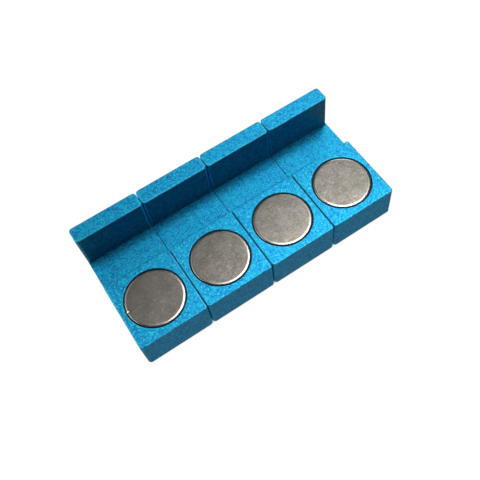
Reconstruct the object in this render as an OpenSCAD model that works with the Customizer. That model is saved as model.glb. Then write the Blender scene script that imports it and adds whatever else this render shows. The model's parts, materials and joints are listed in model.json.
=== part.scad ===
// A row of identical magnetic work holders, shown packed side by side.
// Each holder is one L-shaped block: an upright fence along the back, a sunk ledge at
// its foot and a raised pad in front, with a disc magnet bonded into the pad.
// Millimetres. +X runs along the row, +Y towards the fences, +Z up.
// The origin is the middle of the row's footprint, on the surface it stands on.

/* [Row] */
// Clear gap between one holder and the next
row_gap = 0.2; // [0.1:0.05:5]

/* [Holder body] */
// Width of one holder, along the row
body_w = 24.8; // [24:0.1:40]
// Depth of one holder, front to back
body_d = 45; // [42:0.5:60]
// Height of the sunk ledge at the foot of the fence
ledge_h = 10; // [8:0.5:12]
// Height of the raised pad that carries the magnet
pad_h = 14; // [13:0.5:18]
// Depth of the raised pad, front to back
pad_d = 26; // [24:0.5:30]
// Height of the fence
fence_h = 25; // [20:0.5:40]
// Thickness of the fence
fence_t = 6; // [4:0.5:10]
// Radius of the upright edges at the corners of the block and the fence
corner_r = 1.2; // [0.8:0.1:1.8]
// Radius of the upright edges at the back of the pad
step_r = 0.5; // [0.45:0.05:0.8]
// Bevel along every level edge
bevel = 0.3; // [0.1:0.05:0.4]

/* [Magnet] */
// Diameter of the disc magnet
magnet_d = 20; // [12:0.5:21]
// Thickness of the disc magnet
magnet_t = 5; // [3:0.5:6]
// Rounding of the plated rim
rim_r = 0.3; // [0.2:0.1:0.8]

/* [Pocket and bond] */
// Clearance round the magnet, filled with adhesive
side_gap = 0.5; // [0.2:0.05:0.6]
// Thickness of adhesive under the magnet
bed_t = 0.3; // [0.1:0.05:0.6]
// Chamfer at the mouth of the pocket
mouth = 0.2; // [0.1:0.05:0.4]
// How far the adhesive stops below the face of the pad
bond_drop = 0.6; // [0.3:0.1:1.5]

/* [Hidden] */
holders = 4;
pitch = body_w + row_gap;
pocket_r = magnet_d / 2 + side_gap;
pocket_floor = pad_h - magnet_t - bed_t;
magnet_y = pad_d / 2;
pad_back = 4 * step_r;
over = 1;
$fn = 64;

// Puts its children at the left front corner of the place of holder n, counted from 1
module at_holder(n)
    translate([(n - 1 - holders / 2) * pitch + row_gap / 2, -body_d / 2, 0]) children();

// Puts its children on the axis of the magnet, at the floor of the pocket
module at_pocket(n)
    at_holder(n) translate([body_w / 2, magnet_y, pocket_floor]) children();

// Side view of a bar, with its four level edges bevelled
module bar_profile(length, height)
    polygon([
        [bevel, 0], [length - bevel, 0], [length, bevel], [length, height - bevel],
        [length - bevel, height], [bevel, height], [0, height - bevel], [0, bevel]
    ]);

// Post with a round plan, bevelled at both ends
module corner_post(height, radius)
    rotate_extrude()
        polygon([
            [0, 0], [radius - bevel, 0], [radius, bevel],
            [radius, height - bevel], [radius - bevel, height], [0, height]
        ]);

// Box with rounded upright edges and bevelled level edges: two crossed bars, four posts
module soft_box(width, depth, height, radius) {
    for (x = [radius, width - radius], y = [radius, depth - radius])
        translate([x, y, 0]) corner_post(height, radius);
    translate([radius, 0, 0]) rotate([90, 0, 90])
        linear_extrude(width - 2 * radius) bar_profile(depth, height);
    translate([0, depth - radius, 0]) rotate([90, 0, 0])
        linear_extrude(depth - 2 * radius) bar_profile(width, height);
}

// Blind pocket for the magnet, with a chamfered mouth
module pocket() {
    depth = pad_h - pocket_floor;
    rotate_extrude()
        polygon([
            [0, 0], [pocket_r, 0], [pocket_r, depth - mouth],
            [pocket_r + mouth, depth], [pocket_r + mouth, depth + over], [0, depth + over]
        ]);
}

// Half section of the magnet, standing on its adhesive bed
module magnet_section() {
    r = magnet_d / 2;
    translate([0, bed_t]) {
        square([r - rim_r, magnet_t]);
        translate([0, rim_r]) square([r, magnet_t - 2 * rim_r]);
        for (y = [rim_r, magnet_t - rim_r]) translate([r - rim_r, y]) circle(rim_r);
    }
}

// One-piece block of holder n
module holder_body(n)
    color("deepskyblue") difference() {
        at_holder(n) {
            soft_box(body_w, body_d, ledge_h, corner_r);
            soft_box(body_w, pad_d, pad_h, corner_r);
            translate([0, pad_d - pad_back, 0]) soft_box(body_w, pad_back, pad_h, step_r);
            translate([0, body_d - fence_t, 0]) soft_box(body_w, fence_t, fence_h, corner_r);
        }
        at_pocket(n) pocket();
    }

// Plated disc magnet of holder n, flush with the face of the pad
module disc_magnet(n)
    color("darkgray") at_pocket(n) rotate_extrude() magnet_section();

// Cup of cured adhesive under and around the magnet of holder n
module bond(n)
    color("midnightblue") at_pocket(n) rotate_extrude() difference() {
        square([pocket_r, pad_h - pocket_floor - bond_drop]);
        magnet_section();
    }

module holder_body_1() { holder_body(1); }
module holder_body_2() { holder_body(2); }
module holder_body_3() { holder_body(3); }
module holder_body_4() { holder_body(4); }
module disc_magnet_1() { disc_magnet(1); }
module disc_magnet_2() { disc_magnet(2); }
module disc_magnet_3() { disc_magnet(3); }
module disc_magnet_4() { disc_magnet(4); }
module bond_1() { bond(1); }
module bond_2() { bond(2); }
module bond_3() { bond(3); }
module bond_4() { bond(4); }

holder_body_1();
holder_body_2();
holder_body_3();
holder_body_4();
disc_magnet_1();
disc_magnet_2();
disc_magnet_3();
disc_magnet_4();
bond_1();
bond_2();
bond_3();
bond_4();
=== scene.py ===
import json
import math
import bmesh
import bpy
import numpy as np
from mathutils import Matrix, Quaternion, Vector

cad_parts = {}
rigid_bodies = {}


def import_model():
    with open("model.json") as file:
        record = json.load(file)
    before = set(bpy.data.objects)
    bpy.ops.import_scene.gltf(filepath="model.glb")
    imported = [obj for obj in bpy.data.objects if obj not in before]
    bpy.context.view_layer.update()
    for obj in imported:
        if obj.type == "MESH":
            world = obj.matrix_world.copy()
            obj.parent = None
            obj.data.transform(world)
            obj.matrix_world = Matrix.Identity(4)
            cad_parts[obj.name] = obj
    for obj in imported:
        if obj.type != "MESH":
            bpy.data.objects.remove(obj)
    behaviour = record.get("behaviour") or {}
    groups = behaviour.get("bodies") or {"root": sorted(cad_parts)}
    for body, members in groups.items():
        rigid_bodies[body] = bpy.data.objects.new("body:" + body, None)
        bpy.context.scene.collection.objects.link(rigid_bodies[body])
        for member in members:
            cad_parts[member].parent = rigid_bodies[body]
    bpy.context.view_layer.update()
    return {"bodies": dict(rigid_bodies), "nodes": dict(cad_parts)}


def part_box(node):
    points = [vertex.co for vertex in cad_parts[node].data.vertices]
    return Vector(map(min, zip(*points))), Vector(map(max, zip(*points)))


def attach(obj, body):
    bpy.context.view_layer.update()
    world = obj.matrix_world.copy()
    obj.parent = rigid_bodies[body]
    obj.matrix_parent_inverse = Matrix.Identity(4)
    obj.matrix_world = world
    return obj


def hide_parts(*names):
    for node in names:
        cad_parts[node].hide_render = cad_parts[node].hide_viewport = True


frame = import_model()
holders = sorted(frame["bodies"])
mm = 0.001


def probe(node, start, way):
    # First point that a straight line from start meets on a CAD node
    met, place, _, _ = frame["nodes"][node].ray_cast(Vector(start), Vector(way))
    if not met:
        raise ValueError("nothing met on " + node)
    return place


def measureHolder(n):
    # Reads one holder's levels and steps off its CAD node
    node = f"holder_body_{n}"
    low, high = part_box(node)
    magnetLow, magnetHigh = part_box(f"disc_magnet_{n}")
    bondLow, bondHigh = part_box(f"bond_{n}")
    middle = (low.x + high.x) / 2
    size = {"low": low, "high": high, "middle": middle}
    size["padTop"] = probe(node, (middle, low.y + 1.2 * mm, 1), (0, 0, -1)).z
    aboveLedge = high.y - 0.25 * (high.y - low.y)
    size["fenceFront"] = probe(node, (middle, aboveLedge, size["padTop"] + 2 * mm), (0, 1, 0)).y
    size["ledge"] = probe(node, (middle, aboveLedge, 1), (0, 0, -1)).z
    halfStep = (size["ledge"] + size["padTop"]) / 2
    size["padBack"] = probe(node, (middle, aboveLedge, halfStep), (0, -1, 0)).y
    size["magnetY"] = (magnetLow.y + magnetHigh.y) / 2
    size["magnetRadius"] = (magnetHigh.x - magnetLow.x) / 2
    size["magnetTop"], size["magnetFoot"] = magnetHigh.z, magnetLow.z
    size["pocketRadius"] = (bondHigh.x - bondLow.x) / 2
    size["pocketFloor"], size["bondTop"] = bondLow.z, bondHigh.z
    return size


def eased(count):
    # Steps from 0 to 1 that bunch at both ends: half of one minus the cosine
    return (1 - np.cos(np.linspace(0, np.pi, count + 1))) / 2


def sheetFaces(index, wrapRows=False, wrapColumns=False):
    # Quads between neighbouring rows and columns of a table of vertex numbers
    if wrapRows:
        index = np.vstack([index, index[:1]])
    if wrapColumns:
        index = np.hstack([index, index[:, :1]])
    corners = (index[:-1, :-1], index[1:, :-1], index[1:, 1:], index[:-1, 1:])
    return np.stack(corners, axis=-1).reshape(-1, 4)


def fan(pole, ring):
    # Triangles from one pole to a closed ring
    return np.stack([np.full(len(ring), pole), ring, np.roll(ring, -1)], axis=-1)


def makePiece(name, points, faceSets, marks=None):
    # One closed mesh from arrays of points and faces; marks are per-point values for the shader
    mesh = bpy.data.meshes.new(name)
    faces = [face for faceSet in faceSets for face in np.asarray(faceSet).tolist()]
    mesh.from_pydata(points.tolist(), [], faces)
    shape = bmesh.new()
    shape.from_mesh(mesh)
    bmesh.ops.recalc_face_normals(shape, faces=shape.faces)
    shape.to_mesh(mesh)
    shape.free()
    for key, values in (marks or {}).items():
        layer = mesh.attributes.new(key, "FLOAT", "POINT")
        layer.data.foreach_set("value", np.asarray(values, np.float32).ravel())
    mesh.polygons.foreach_set("use_smooth", np.ones(len(mesh.polygons), bool))
    mesh.update()
    piece = bpy.data.objects.new(name, mesh)
    bpy.context.scene.collection.objects.link(piece)
    return piece


def ripple(angle, seed, waves):
    # Sum of a few sines round a circle, each with its own chance size and start, about -1 to 1
    draw = np.random.default_rng(seed)
    size = draw.uniform(0.3, 1.0, len(waves))
    start = draw.uniform(0, 2 * np.pi, len(waves))
    total = sum(a * np.sin(k * angle + p) for a, k, p in zip(size, waves, start))
    return total / size.sum()


bodyStyle = {
    "edgeRadius": 0.35 * mm,      # rounding of the level edges along the row
    "endEdge": 0.48 * mm,         # the same at the two ends of a holder
    "ledgeEdge": 0.06 * mm,       # the same at the two ends of the ledge
    "cornerReach": 1.2 * mm,      # rounding of the upright edges
    "stepReach": 0.5 * mm,        # the same at the back of the pad
    "filletRadius": 0.25 * mm,    # milled inside corners beside the ledge
    "mouthRounding": 0.2 * mm,    # eased lip of the magnet pocket
    "wearAndHighlightFade": 0.22 * mm,        # how fast the edge mark, used for wear and a painted highlight, fades into a flat
    "arcSteps": 8,
    "flatSteps": 32,
    "ringSteps": 8,
}


def sideOutline(size):
    # The L shape seen from its end: eight corners, each a quarter arc, joined by flats.
    # Arc point = centre + or - radius times (first normal cos a + second normal sin a).
    # Each point also says which way, and over what reach, its corner draws in at the block's
    # ends; a flat shares the draw of the corners at its two ends.
    s = bodyStyle
    front, back, foot, top = size["low"].y, size["high"].y, size["low"].z, size["high"].z
    corner = np.array([
        (front, foot), (front, size["padTop"]),
        (size["padBack"], size["padTop"]), (size["padBack"], size["ledge"]),
        (size["fenceFront"], size["ledge"]), (size["fenceFront"], top),
        (back, top), (back, foot)])
    reach = np.where(corner[:, 0] == size["padBack"], s["stepReach"], s["cornerReach"])
    inward = np.where(np.isin(corner[:, 0], (front, size["fenceFront"])), 1.0, -1.0)
    ahead = np.roll(corner, -1, axis=0) - corner
    ahead /= np.linalg.norm(ahead, axis=1, keepdims=True)
    behind = np.roll(ahead, 1, axis=0)
    convex = behind[:, 0] * ahead[:, 1] - behind[:, 1] * ahead[:, 0] < 0
    radius = np.where(convex, s["edgeRadius"], s["filletRadius"])[:, None]
    side = np.where(convex, 1.0, -1.0)[:, None]
    normalIn = np.stack([-behind[:, 1], behind[:, 0]], axis=-1)
    normalOut = np.stack([-ahead[:, 1], ahead[:, 0]], axis=-1)
    centre = corner + radius * (ahead - behind)
    turn = np.linspace(0, np.pi / 2, s["arcSteps"] + 1)[None, :, None]
    arcNormal = normalIn[:, None] * np.cos(turn) + normalOut[:, None] * np.sin(turn)
    arc = centre[:, None] + (side * radius)[:, None] * arcNormal
    share = eased(s["flatSteps"])[1:-1][None, :, None]
    start, end = arc[:, -1:], np.roll(arc, -1, axis=0)[:, :1]
    flat = start + (end - start) * share
    flatNormal = np.repeat(normalOut[:, None], flat.shape[1], axis=1)
    length = np.linalg.norm(end - start, axis=-1)
    near, far = length * share[..., 0], length * (1 - share[..., 0])
    convexNext = np.roll(convex, -1)
    fade = s["wearAndHighlightFade"]
    flatMark = np.maximum(convex[:, None] * np.exp(-near / fade),
                          convexNext[:, None] * np.exp(-far / fade))
    arcMark = np.repeat(convex[:, None] * 1.0, arc.shape[1], axis=1)
    count = arc.shape[1] + flat.shape[1]
    onLedge = corner[:, 1] == size["ledge"]
    endRound = np.full((len(corner), count), s["endEdge"])
    endRound[onLedge, :arc.shape[1]] = s["ledgeEdge"]
    endRound[onLedge & np.roll(onLedge, -1)] = s["ledgeEdge"]
    along = np.concatenate([np.zeros(arc.shape[1]), share.ravel()])
    return {
        "place": np.concatenate([arc, flat], axis=1).reshape(-1, 2),
        "normal": np.concatenate([arcNormal, flatNormal], axis=1).reshape(-1, 2),
        "mark": np.concatenate([arcMark, flatMark], axis=1).ravel(),
        "along": np.tile(along, len(corner)),
        "reach": np.repeat(reach, count),
        "reachNext": np.repeat(np.roll(reach, -1), count),
        "inward": np.repeat(inward, count),
        "inwardNext": np.repeat(np.roll(inward, -1), count),
        "endRound": endRound.ravel(),
        "perCorner": count,
    }


def setBack(distance, reach):
    # How far a rounded end draws in at a distance from the end: r minus root of r^2 - (r - d)^2
    short = np.clip(reach - distance, 0, None)
    return reach - np.sqrt(np.maximum(reach ** 2 - short ** 2, 0))


def holderBody(n, size):
    # The side outline carried along the row, drawn in at both ends by setBack; then the top
    # of the pad is opened by rings that blend from its rectangle to the pocket's circle.
    s = bodyStyle
    line = sideOutline(size)
    width = size["high"].x - size["low"].x
    reach = s["cornerReach"]
    bend = reach * (1 - np.cos(np.linspace(0, np.pi / 2, 2 * s["arcSteps"] + 1)))
    across = reach + (width - 2 * reach) * eased(s["flatSteps"])
    station = np.concatenate([bend[:-1], across, width - bend[:-1][::-1]])
    fromEnd = np.minimum(station, width - station)[None, :]
    along = line["along"][:, None]
    drawHere = line["inward"][:, None] * setBack(fromEnd, line["reach"][:, None])
    drawNext = line["inwardNext"][:, None] * setBack(fromEnd, line["reachNext"][:, None])
    y = line["place"][:, :1] + (1 - along) * drawHere + along * drawNext
    z = line["place"][:, 1:] - line["normal"][:, 1:] * setBack(fromEnd, line["endRound"][:, None])
    x = np.broadcast_to(size["low"].x + station[None, :], y.shape)
    endMark = np.exp(-np.clip(fromEnd - line["endRound"][:, None], 0, None) / s["wearAndHighlightFade"])
    mark = np.maximum(line["mark"][:, None], endMark)
    points = np.stack([x, y, z], axis=-1)
    index = np.arange(points[..., 0].size).reshape(points.shape[:2])

    firstRow = line["perCorner"] + s["arcSteps"]
    lastRow = 2 * line["perCorner"]
    firstColumn = 2 * s["arcSteps"]
    lastColumn = firstColumn + s["flatSteps"]
    quads = sheetFaces(index, wrapRows=True).reshape(index.shape[0], index.shape[1] - 1, 4)
    keep = np.ones(quads.shape[:2], bool)
    keep[firstRow:lastRow, firstColumn:lastColumn] = False
    patch = index[firstRow:lastRow + 1, firstColumn:lastColumn + 1]
    rim = np.concatenate([patch[0, :-1], patch[:-1, -1], patch[-1, :0:-1], patch[:0:-1, 0]])

    centre = np.array([size["middle"], size["magnetY"]])
    rimPlace = points.reshape(-1, 3)[rim, :2] - centre
    way = rimPlace / np.linalg.norm(rimPlace, axis=1, keepdims=True)
    lip, wall = s["mouthRounding"], size["pocketRadius"]
    blend = eased(s["ringSteps"])[1:, None, None]
    flatRings = rimPlace * (1 - blend) + way * (wall + lip) * blend
    turn = np.linspace(0, np.pi / 2, s["arcSteps"] + 1)[1:]
    radii = np.concatenate([wall + lip - lip * np.sin(turn), [wall, wall, 0.5 * wall]])
    drops = np.concatenate([lip * (1 - np.cos(turn)),
                            [0.5 * (size["padTop"] - size["pocketFloor"])],
                            [size["padTop"] - size["pocketFloor"]] * 2])
    deepRings = way[None] * radii[:, None, None]
    ringPlace = np.concatenate([flatRings, deepRings]) + centre
    ringZ = size["padTop"] - np.concatenate([np.zeros(s["ringSteps"]), drops])
    rings = np.dstack([ringPlace, np.broadcast_to(ringZ[:, None], ringPlace.shape[:2])])
    ringIndex = index.size + np.arange(rings[..., 0].size).reshape(rings.shape[:2])
    gapToLip = np.linalg.norm(flatRings, axis=-1) - (wall + lip)
    ringMark = np.zeros(ringIndex.shape)
    ringMark[:s["ringSteps"]] = np.exp(-gapToLip / s["wearAndHighlightFade"])
    ringMark[s["ringSteps"]:s["ringSteps"] + s["arcSteps"]] = 1
    pole = np.array([[centre[0], centre[1], size["pocketFloor"]]])
    poleIndex = index.size + ringIndex.size

    everyPoint = np.concatenate([points.reshape(-1, 3), rings.reshape(-1, 3), pole])
    faceSets = [
        quads[keep],
        sheetFaces(np.vstack([rim, ringIndex]), wrapColumns=True),
        fan(poleIndex, ringIndex[-1]),
        index[:, 0][None, ::-1],
        index[:, -1][None, :],
    ]
    marks = {"edgeMark": np.concatenate([mark.ravel(), ringMark.ravel(), [0.0]])}
    return makePiece(f"holderBody{n}", everyPoint, faceSets, marks)


magnetStyle = {
    "rimRadius": 0.3 * mm,        # rounding of the plated rim
    "crownReach": 0.7 * mm,       # width of the band inside the rim that tumbling wore down
    "crownTilt": math.radians(12),
    "rimUneven": 0.03 * mm,       # how far the rim wanders from a true circle
    "facePillow": 0.02 * mm,      # the face falls this much from its middle to its rim
    "aroundSteps": 192,
    "faceSteps": 28,
    "arcSteps": 10,
    "chipHolder": 1,              # the holder whose magnet has a chipped rim
    "chipAngle": math.radians(177),
    "chipSpread": 0.050,          # half width of the chip, in radians
    "chipDepth": 0.22 * mm,
    "chipPlace": 0.93,            # where the chip is deepest, as a share of the radius
    "chipWidth": 0.035,           # how quickly it fades from there, in the same share
    "burrReach": 0.3 * mm,
    "rimSeed": 40,
    "rimWaves": [3, 5, 9, 17],    # waves in one turn of the rim
}


def discMagnet(n, size):
    # Half section turned round its axis: a pillowed face, a crown that falls as a parabola to
    # its tilt, an arc from that tilt to upright, the side, a quarter arc and the underside
    s = magnetStyle
    radius, rim, tilt = size["magnetRadius"], s["rimRadius"], s["crownTilt"]
    top, foot = size["magnetTop"], size["magnetFoot"]
    crownEnd = radius - rim * (1 - math.sin(tilt))
    crownStart = crownEnd - s["crownReach"]
    face = crownStart * np.linspace(0, 1, s["faceSteps"] + 1)[1:]
    share = np.linspace(0, 1, s["arcSteps"] + 1)[1:]
    crownDrop = 0.5 * s["crownReach"] * math.tan(tilt)
    turn = tilt + (np.pi / 2 - tilt) * share
    lowTurn = np.pi / 2 * np.linspace(0, 1, s["arcSteps"] + 1)
    edge = top - s["facePillow"]
    level = np.concatenate([
        top - s["facePillow"] * (face / crownStart) ** 2,
        edge - crownDrop * share ** 2,
        edge - crownDrop - rim * (math.cos(tilt) - np.cos(turn)),
        foot + rim * (1 - np.sin(lowTurn)),
        np.full(2, foot)])
    reach = np.concatenate([
        face, crownStart + s["crownReach"] * share, radius - rim * (1 - np.sin(turn)),
        radius - rim * (1 - np.cos(lowTurn)), (radius - rim) * np.array([0.66, 0.33])])
    angle = np.linspace(0, 2 * np.pi, s["aroundSteps"], endpoint=False)
    outward = np.clip(reach / radius, 0, 1)[:, None] ** 8
    spread = reach[:, None] + outward * s["rimUneven"] * ripple(angle, s["rimSeed"] + n, s["rimWaves"])
    height = np.repeat(level[:, None], len(angle), axis=1)
    if n == s["chipHolder"]:
        away = (angle - s["chipAngle"] + np.pi) % (2 * np.pi) - np.pi
        bite = np.exp(-(away / s["chipSpread"]) ** 2)[None, :]
        onFace = height > top - 2 * rim
        inner = np.exp(-((reach[:, None] / radius - s["chipPlace"]) / s["chipWidth"]) ** 2)
        height = height - s["chipDepth"] * bite * inner * onFace
        lifted = np.exp(-((height - (edge - crownDrop)) / rim) ** 2)
        spread = spread + s["burrReach"] * bite * lifted * outward
    x = size["middle"] + spread * np.cos(angle)
    y = size["magnetY"] + spread * np.sin(angle)
    rings = np.stack([x, y, height], axis=-1)
    index = np.arange(rings[..., 0].size).reshape(rings.shape[:2])
    poles = np.array([[size["middle"], size["magnetY"], top], [size["middle"], size["magnetY"], foot]])
    points = np.concatenate([rings.reshape(-1, 3), poles])
    rimMark = np.clip((reach - crownStart) / s["crownReach"], 0, 1) * (level > foot + rim)
    mark = np.concatenate([np.repeat(rimMark[:, None], len(angle), axis=1).ravel(), [0, 0]])
    faceSets = [
        sheetFaces(index, wrapColumns=True),
        fan(index.size, index[0]),
        fan(index.size + 1, index[-1]),
    ]
    return makePiece(f"discMagnet{n}", points, faceSets, {"edgeMark": mark})


bondStyle = {
    "sag": 0.14 * mm,             # how far the middle of the joint hangs below its edges
    "uneven": 0.1 * mm,           # rise and fall of the joint round the magnet
    "seat": 0.01 * mm,            # clearance to the pocket; four times this to the magnet's side
    "aroundSteps": 192,
    "joinSteps": 6,
    "wanderSeed": 70,
    "wanderWaves": [2, 3, 7, 13],  # waves in one turn of the joint
}


def bondCup(n, size):
    # A cup's half section turned round its axis; its lip is a hanging parabola whose level
    # wanders round the circle
    s = bondStyle
    outer = size["pocketRadius"] - s["seat"]
    inner = size["magnetRadius"] + 4 * s["seat"]
    floor, bed = size["pocketFloor"] + s["seat"], size["magnetFoot"] - s["seat"]
    angle = np.linspace(0, 2 * np.pi, s["aroundSteps"], endpoint=False)
    wander = s["uneven"] * ripple(angle, s["wanderSeed"] + n, s["wanderWaves"])
    share = np.linspace(0, 1, s["joinSteps"] + 1)
    lipRadius = outer + (inner - outer) * share
    lipSag = -4 * s["sag"] * share * (1 - share)
    tip = size["bondTop"] - s["uneven"]
    radii = np.concatenate([[0.5 * outer, outer, outer], lipRadius, [inner, inner, 0.5 * inner]])
    fixed = np.concatenate([[floor, floor, (floor + tip) / 2], tip + lipSag,
                            [(tip + bed) / 2, bed, bed]])
    moves = np.concatenate([[0, 0, 0.5], np.ones(len(share)), [0.5, 0, 0]])
    height = fixed[:, None] + moves[:, None] * wander[None, :]
    x = size["middle"] + radii[:, None] * np.cos(angle)
    y = size["magnetY"] + radii[:, None] * np.sin(angle)
    rings = np.stack([x, y, height], axis=-1)
    index = np.arange(rings[..., 0].size).reshape(rings.shape[:2])
    poles = np.array([[size["middle"], size["magnetY"], floor], [size["middle"], size["magnetY"], bed]])
    points = np.concatenate([rings.reshape(-1, 3), poles])
    faceSets = [
        sheetFaces(index, wrapColumns=True),
        fan(index.size, index[0]),
        fan(index.size + 1, index[-1]),
    ]
    return makePiece(f"bondCup{n}", points, faceSets)


def newFinish(name):
    # An empty node tree with one shader wired to the output
    finish = bpy.data.materials.new(name)
    finish.use_nodes = True
    tree = finish.node_tree
    shader = next(node for node in tree.nodes if node.type == "BSDF_PRINCIPLED")
    return finish, tree, shader


def addNode(tree, kind, settings=None, values=None):
    # A node with its settings and its unlinked values given by name
    node = tree.nodes.new(kind)
    for key, value in (settings or {}).items():
        setattr(node, key, value)
    for key, value in (values or {}).items():
        node.inputs[key].default_value = value
    return node


def grain(tree, scale, detail=2.0, roughness=0.5, stretch=(1, 1, 1), offset=(0, 0, 0)):
    # Noise on object coordinates; scale is in cells per metre
    place = addNode(tree, "ShaderNodeTexCoord")
    shift = addNode(tree, "ShaderNodeMapping", None, {"Location": offset, "Scale": stretch})
    noise = addNode(tree, "ShaderNodeTexNoise", None,
                    {"Scale": scale, "Detail": detail, "Roughness": roughness})
    tree.links.new(place.outputs["Object"], shift.inputs["Vector"])
    tree.links.new(shift.outputs["Vector"], noise.inputs["Vector"])
    return noise.outputs["Fac"]


def pits(tree, scale, height):
    # A chance value from 0 to height for each small cell of the blasted skin
    place = addNode(tree, "ShaderNodeTexCoord")
    cells = addNode(tree, "ShaderNodeTexVoronoi", {"feature": "F1"}, {"Scale": scale})
    parts = addNode(tree, "ShaderNodeSeparateColor")
    tree.links.new(place.outputs["Object"], cells.inputs["Vector"])
    tree.links.new(cells.outputs["Color"], parts.inputs["Color"])
    return combine(tree, "MULTIPLY", parts.outputs["Red"], height)


def levels(tree, source, low, high, newLow, newHigh):
    # Stretches low..high of a value to newLow..newHigh, held at both ends
    node = addNode(tree, "ShaderNodeMapRange", {"clamp": True},
                   {"From Min": low, "From Max": high, "To Min": newLow, "To Max": newHigh})
    tree.links.new(source, node.inputs["Value"])
    return node.outputs["Result"]


def mixColours(tree, share, first, second, blend="MIX"):
    # share of second over first; each may be a colour or a socket
    node = addNode(tree, "ShaderNodeMix", {"data_type": "RGBA", "blend_type": blend})
    for socket, value in ((node.inputs[0], share), (node.inputs[6], first), (node.inputs[7], second)):
        if isinstance(value, bpy.types.NodeSocket):
            tree.links.new(value, socket)
        else:
            socket.default_value = value
    return node.outputs[2]


def combine(tree, operation, first, second):
    # One arithmetic step between two values or sockets
    node = addNode(tree, "ShaderNodeMath", {"operation": operation})
    for socket, value in zip(node.inputs, (first, second)):
        if isinstance(value, bpy.types.NodeSocket):
            tree.links.new(value, socket)
        else:
            socket.default_value = value
    return node.outputs[0]


def readMark(tree):
    # The edge mark stored on the mesh
    return addNode(tree, "ShaderNodeAttribute", {"attribute_name": "edgeMark"}).outputs["Fac"]


anodisedStyle = {
    "deep": (0.001, 0.170, 0.600, 1),
    "main": (0.003, 0.580, 0.920, 1),
    "teal": (0.003, 0.440, 0.700, 1),
    "paintedGlint": (0.060, 0.850, 1.000, 1),
    "wearAndHighlight": (0.080, 0.720, 0.900, 1),
    "grazing": (0.90, 0.92, 0.95, 1),
    "paintedShade": (0.60, 0.40, 0.38, 1),
    "roughness": (0.42, 0.55),
    "coat": 0.36,
    "coatRoughness": 0.45,
    "blastDepth": 0.05 * mm,
    "cloudDepth": 0.02 * mm,
    "speckleScale": 950,          # this and the next five are in cells per metre
    "pitScale": 2400,
    "cloudScale": 190,
    "sparkScale": 2400,
    "wearAndHighlightGrainScale": 900,
    "blastScale": 2600,
    "speckleShare": 0.8,          # how much each one adds to the colour
    "pitShare": 0.2,
    "tealShare": 0.2,
    "paintedGlintShare": 0.9,
    "wearAndHighlightShare": 0.6,
    "paintedShadeFade": 0.7 * mm,        # how far the painted shade runs out over the ledge at the fence's foot
}


def between(tree, source, low, high, softLow, softHigh):
    # One inside low..high, fading to nothing over softLow below it and softHigh above it
    rise = levels(tree, source, low - softLow, low, 0, 1)
    return combine(tree, "MULTIPLY", rise, levels(tree, source, high, high + softHigh, 1, 0))


def anodisedFinish(size):
    # Colour = deep to main dye by the sum of soft speckle and a chance tone for each blasted
    # pit, pulled to teal by cloud, dotted with sparse painted glints, lightened on edges for wear and
    # a painted highlight, and times a painted shade on the sheltered face of the fence; bump = fine
    # blast over low cloud
    s = anodisedStyle
    finish, tree, shader = newFinish("blueAnodised")
    speckle = grain(tree, s["speckleScale"], 3, 0.6)
    tone = combine(tree, "ADD", levels(tree, speckle, 0.36, 0.64, 0, s["speckleShare"]),
                   pits(tree, s["pitScale"], s["pitShare"]))
    cloud = grain(tree, s["cloudScale"], 3, 0.55, offset=(0.31, 0.12, 0.05))
    colour = mixColours(tree, tone, s["deep"], s["main"])
    colour = mixColours(tree, levels(tree, cloud, 0.42, 0.62, 0, s["tealShare"]), colour, s["teal"])
    spark = grain(tree, s["sparkScale"], 1, 0.5, offset=(0.15, 0.45, 0.25))
    # painted glints: sparse pale specks laid into the colour
    colour = mixColours(tree, levels(tree, spark, 0.56, 0.66, 0, s["paintedGlintShare"]), colour, s["paintedGlint"])
    wearAndHighlightGrain = grain(tree, s["wearAndHighlightGrainScale"], 4, 0.65, offset=(0.7, 0.2, 0.4))
    # lighter edges: partly wear, partly a painted highlight along the edge mark
    wearAndHighlight = combine(tree, "MULTIPLY", levels(tree, readMark(tree), 0.25, 1, 0, 1),
                   levels(tree, wearAndHighlightGrain, 0.38, 0.60, 0, s["wearAndHighlightShare"]))
    colour = mixColours(tree, wearAndHighlight, colour, s["wearAndHighlight"])
    place = addNode(tree, "ShaderNodeSeparateXYZ")
    tree.links.new(addNode(tree, "ShaderNodeTexCoord").outputs["Object"], place.inputs["Vector"])
    face, foot, top = size["fenceFront"], size["ledge"], size["high"].z - bodyStyle["edgeRadius"]
    across, up = place.outputs["Y"], place.outputs["Z"]
    # painted shade: the fence's front face, and a narrow strip of ledge at its foot, darkened in colour
    paintedShadeMask = combine(tree, "MULTIPLY", between(tree, across, face, face, s["paintedShadeFade"], 0.3 * mm),
                        between(tree, up, foot, top, 0.2 * mm, 0.2 * mm))
    colour = mixColours(tree, paintedShadeMask, colour, s["paintedShade"], "MULTIPLY")
    low, high = s["roughness"]
    tree.links.new(colour, shader.inputs["Base Color"])
    tree.links.new(levels(tree, speckle, 0.3, 0.7, low, high), shader.inputs["Roughness"])
    shader.inputs["Metallic"].default_value = 1.0
    shader.inputs["Specular Tint"].default_value = s["grazing"]
    shader.inputs["Coat Weight"].default_value = s["coat"]
    shader.inputs["Coat Roughness"].default_value = s["coatRoughness"]
    blast = grain(tree, s["blastScale"], 3, 0.65, offset=(0.2, 0.9, 0.3))
    fine = addNode(tree, "ShaderNodeBump", None, {"Strength": 0.6, "Distance": s["blastDepth"]})
    wide = addNode(tree, "ShaderNodeBump", None, {"Strength": 0.5, "Distance": s["cloudDepth"]})
    tree.links.new(blast, fine.inputs["Height"])
    tree.links.new(cloud, wide.inputs["Height"])
    tree.links.new(wide.outputs["Normal"], fine.inputs["Normal"])
    tree.links.new(fine.outputs["Normal"], shader.inputs["Normal"])
    return finish


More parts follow.
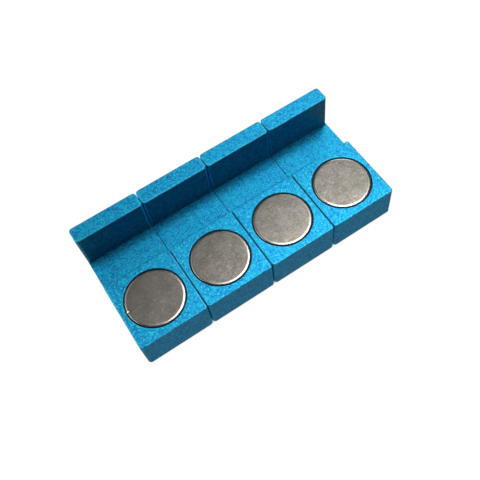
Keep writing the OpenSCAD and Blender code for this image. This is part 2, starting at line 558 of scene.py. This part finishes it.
nickelStyle = {
    "dull": (0.140, 0.128, 0.113, 1),
    "bright": (0.360, 0.335, 0.298, 1),
    "scuff": (0.520, 0.490, 0.450, 1),
    "rim": (0.660, 0.640, 0.600, 1),
    "roughness": (0.30, 0.42),
    "rimRoughness": 0.24,
    "scratchDepth": 0.012 * mm,
    "mottleScale": 1300,          # this and the next three are in cells per metre
    "patchScale": 260,
    "scuffScale": 420,
    "scratchScale": 1500,
    "scuffShare": 0.55,
}


def nickelFinish():
    # Colour and roughness from mottling and a few pale scuffs, turning bright and smooth on the
    # tumbled rim; bump from two sets of fine crossing scratches
    s = nickelStyle
    finish, tree, shader = newFinish("nickelPlate")
    mottle = grain(tree, s["mottleScale"], 4, 0.7)
    patch = grain(tree, s["patchScale"], 2, 0.5, offset=(0.4, 0.1, 0.2))
    share = combine(tree, "ADD", levels(tree, mottle, 0.3, 0.7, 0, 0.7),
                    levels(tree, patch, 0.35, 0.65, 0, 0.3))
    rim = levels(tree, readMark(tree), 0, 1, 0, 1)
    scuff = grain(tree, s["scuffScale"], 3, 0.6, stretch=(1, 1.9, 1), offset=(0.23, 0.61, 0))
    colour = mixColours(tree, share, s["dull"], s["bright"])
    colour = mixColours(tree, levels(tree, scuff, 0.60, 0.70, 0, s["scuffShare"]), colour, s["scuff"])
    colour = mixColours(tree, rim, colour, s["rim"])
    tree.links.new(colour, shader.inputs["Base Color"])
    low, high = s["roughness"]
    rough = levels(tree, mottle, 0.3, 0.7, high, low)
    keep = combine(tree, "SUBTRACT", 1.0, rim)
    rough = combine(tree, "ADD", combine(tree, "MULTIPLY", rough, keep),
                    combine(tree, "MULTIPLY", rim, s["rimRoughness"]))
    tree.links.new(rough, shader.inputs["Roughness"])
    shader.inputs["Metallic"].default_value = 1.0
    fine = s["scratchScale"]
    scratches = combine(tree, "ADD", grain(tree, fine, 2, 0.6, stretch=(1, 14, 1)),
                        grain(tree, fine, 2, 0.6, stretch=(12, 1, 1), offset=(0.3, 0.3, 0)))
    bump = addNode(tree, "ShaderNodeBump", None, {"Strength": 0.5, "Distance": s["scratchDepth"]})
    tree.links.new(scratches, bump.inputs["Height"])
    tree.links.new(bump.outputs["Normal"], shader.inputs["Normal"])
    return finish


adhesiveStyle = {
    "dark": (0.002, 0.005, 0.010, 1),
    "pale": (0.010, 0.018, 0.028, 1),
    "roughness": (0.35, 0.65),
    "patchScale": 1200,
    "patchDepth": 0.05 * mm,
}


def adhesiveFinish():
    # Near-black resin: colour, roughness and bump all follow one patchy grain
    s = adhesiveStyle
    finish, tree, shader = newFinish("curedAdhesive")
    patch = grain(tree, s["patchScale"], 3, 0.6)
    low, high = s["roughness"]
    tree.links.new(mixColours(tree, patch, s["dark"], s["pale"]), shader.inputs["Base Color"])
    tree.links.new(levels(tree, patch, 0.3, 0.7, low, high), shader.inputs["Roughness"])
    bump = addNode(tree, "ShaderNodeBump", None, {"Strength": 0.4, "Distance": s["patchDepth"]})
    tree.links.new(patch, bump.inputs["Height"])
    tree.links.new(bump.outputs["Normal"], shader.inputs["Normal"])
    return finish


anodised = anodisedFinish(measureHolder(1))
nickel, adhesive = nickelFinish(), adhesiveFinish()
print("finishes made")
for body in holders:
    n = int(body.rsplit("_", 1)[1])
    size = measureHolder(n)
    made = (
        (holderBody(n, size), anodised, f"holder_body_{n}", "blue_anodised"),
        (discMagnet(n, size), nickel, f"disc_magnet_{n}", "nickel_plate"),
        (bondCup(n, size), adhesive, f"bond_{n}", "cured_adhesive"),
    )
    for piece, finish, node, slot in made:
        piece.data.materials.append(finish)
        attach(piece, body)
        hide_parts(node)
    print("holder", n, "built:", sum(len(piece.data.vertices) for piece, *_ in made), "points")


stageStyle = {
    "floorRadius": 0.9,
    "wallRadius": 1.4,
    "wallHeight": 1.2,
    "floorDrop": 0.02 * mm,
    "floorColour": (0.05, 0.05, 0.05, 1),
    "floorGlow": 1.0,
    "paintedShadowReach": 3 * mm,
    "paintedShadowOpen": 0.55,          # openness at which the painted contact shadow ends and the floor shows its full glow
}


def makeSweep():
    # A round studio sweep: flat floor, quarter arc, wall, turned about the middle.
    # It glows evenly, with a painted contact shadow only where something stands close to it.
    s = stageStyle
    turn = np.linspace(0, np.pi / 2, 13)
    bend = s["wallRadius"] - s["floorRadius"]
    reach = np.concatenate([[0.05, 0.3], s["floorRadius"] + bend * np.sin(turn), [s["wallRadius"]]])
    level = np.concatenate([[0, 0], bend * (1 - np.cos(turn)), [s["wallHeight"]]]) - s["floorDrop"]
    angle = np.linspace(0, 2 * np.pi, 96, endpoint=False)
    rings = np.stack([reach[:, None] * np.cos(angle), reach[:, None] * np.sin(angle),
                      np.broadcast_to(level[:, None], (len(level), len(angle)))], axis=-1)
    index = np.arange(rings[..., 0].size).reshape(rings.shape[:2])
    points = np.concatenate([rings.reshape(-1, 3), [[0, 0, -s["floorDrop"]]]])
    faceSets = [sheetFaces(index, wrapColumns=True), fan(index.size, index[0])]
    sweep = makePiece("studioSweep", points, faceSets)
    finish, tree, shader = newFinish("paleFloor")
    # painted contact shadow: the floor's glow dims by ambient occlusion near the holders
    nearness = addNode(tree, "ShaderNodeAmbientOcclusion", {"samples": 16},
                       {"Distance": s["paintedShadowReach"]})
    glowWithPaintedShadow = levels(tree, nearness.outputs["AO"], 0, s["paintedShadowOpen"], 0, s["floorGlow"])
    shader.inputs["Base Color"].default_value = s["floorColour"]
    shader.inputs["Roughness"].default_value = 1.0
    shader.inputs["Specular IOR Level"].default_value = 0.0
    shader.inputs["Emission Color"].default_value = (1, 1, 1, 1)
    tree.links.new(glowWithPaintedShadow, shader.inputs["Emission Strength"])
    sweep.data.materials.append(finish)
    sweep.visible_diffuse = False
    sweep.visible_glossy = False
    sweep.visible_shadow = False
    return sweep


# Heading and height in degrees, reach and size in metres, power in watts
lamps = {
    "key": {"heading": 33, "height": 64, "reach": 0.8, "size": 0.16, "power": 0.65},
    "overhead": {"heading": 24, "height": 77, "reach": 0.9, "size": 0.32, "power": 1.95},
    "rearRight": {"heading": 50, "height": 22, "reach": 0.7, "size": 0.3, "power": 0.7},
    "rearLeft": {"heading": 125, "height": 38, "reach": 0.7, "size": 0.5, "power": 0.35},
    "leftFill": {"heading": 160, "height": 22, "reach": 0.7, "size": 0.5, "power": 1.2},
    "frontFill": {"heading": 310, "height": 24, "reach": 0.7, "size": 0.5, "power": 0.5},
}
worldStyle = {
    "below": (0.25, 0.25, 0.25, 1), "horizon": (0.40, 0.40, 0.40, 1), "above": (0.01, 0.01, 0.01, 1),
    "blend": 0.12, "glowTop": 0.55,
}
cameraStyle = {
    "place": (-43.8 * mm, -105.8 * mm, 211.4 * mm),
    "target": (5.8 * mm, -6.5 * mm, 7.0 * mm),
    "roll": math.radians(-7.98),
    "lens": 50.06,
    "shift": (-0.047, -0.016),
}


def addLamp(name, style):
    # A soft square lamp facing the middle of the row; heading is measured round from +X, height
    # up from the floor, and reach is its distance
    heading, height = math.radians(style["heading"]), math.radians(style["height"])
    way = Vector((math.cos(height) * math.cos(heading), math.cos(height) * math.sin(heading),
                  math.sin(height)))
    lamp = bpy.data.lights.new(name, "AREA")
    lamp.shape = "SQUARE"
    lamp.size = style["size"]
    lamp.energy = style["power"]
    holder = bpy.data.objects.new(name, lamp)
    holder.location = way * style["reach"]
    holder.rotation_euler = (-way).to_track_quat("-Z", "Y").to_euler()
    bpy.context.scene.collection.objects.link(holder)


def makeWorld():
    # Light thrown back by the table from below the horizon, a pale glow along the horizon that
    # fades out at glowTop, and a dark room above it
    s = worldStyle
    world = bpy.data.worlds.new("studio")
    world.use_nodes = True
    tree = world.node_tree
    sky = tree.nodes["Background"]
    place = addNode(tree, "ShaderNodeTexCoord")
    parts = addNode(tree, "ShaderNodeSeparateXYZ")
    tree.links.new(place.outputs["Generated"], parts.inputs["Vector"])
    aboveFloor = levels(tree, parts.outputs["Z"], -s["blend"], s["blend"], 0, 1)
    aboveGlow = levels(tree, parts.outputs["Z"], s["blend"], s["glowTop"], 0, 1)
    low = mixColours(tree, aboveFloor, s["below"], s["horizon"])
    tree.links.new(mixColours(tree, aboveGlow, low, s["above"]), sky.inputs["Color"])
    bpy.context.scene.world = world


def makeCamera():
    # Looks from place to target, then turned about its own line of sight by roll
    s = cameraStyle
    lens = bpy.data.cameras.new("camera")
    lens.lens = s["lens"]
    lens.sensor_width = 36
    lens.shift_x, lens.shift_y = s["shift"]
    lens.clip_start, lens.clip_end = 0.01, 20
    camera = bpy.data.objects.new("camera", lens)
    sight = Vector(s["target"]) - Vector(s["place"])
    camera.rotation_mode = "QUATERNION"
    camera.rotation_quaternion = sight.to_track_quat("-Z", "Y") @ Quaternion((0, 0, 1), s["roll"])
    camera.location = s["place"]
    bpy.context.scene.collection.objects.link(camera)
    bpy.context.scene.camera = camera


makeSweep()
for lampName, lampStyle in lamps.items():
    addLamp(lampName, lampStyle)
makeWorld()
makeCamera()
bpy.context.scene.view_settings.view_transform = "Standard"
print("stage, lamps and camera placed")
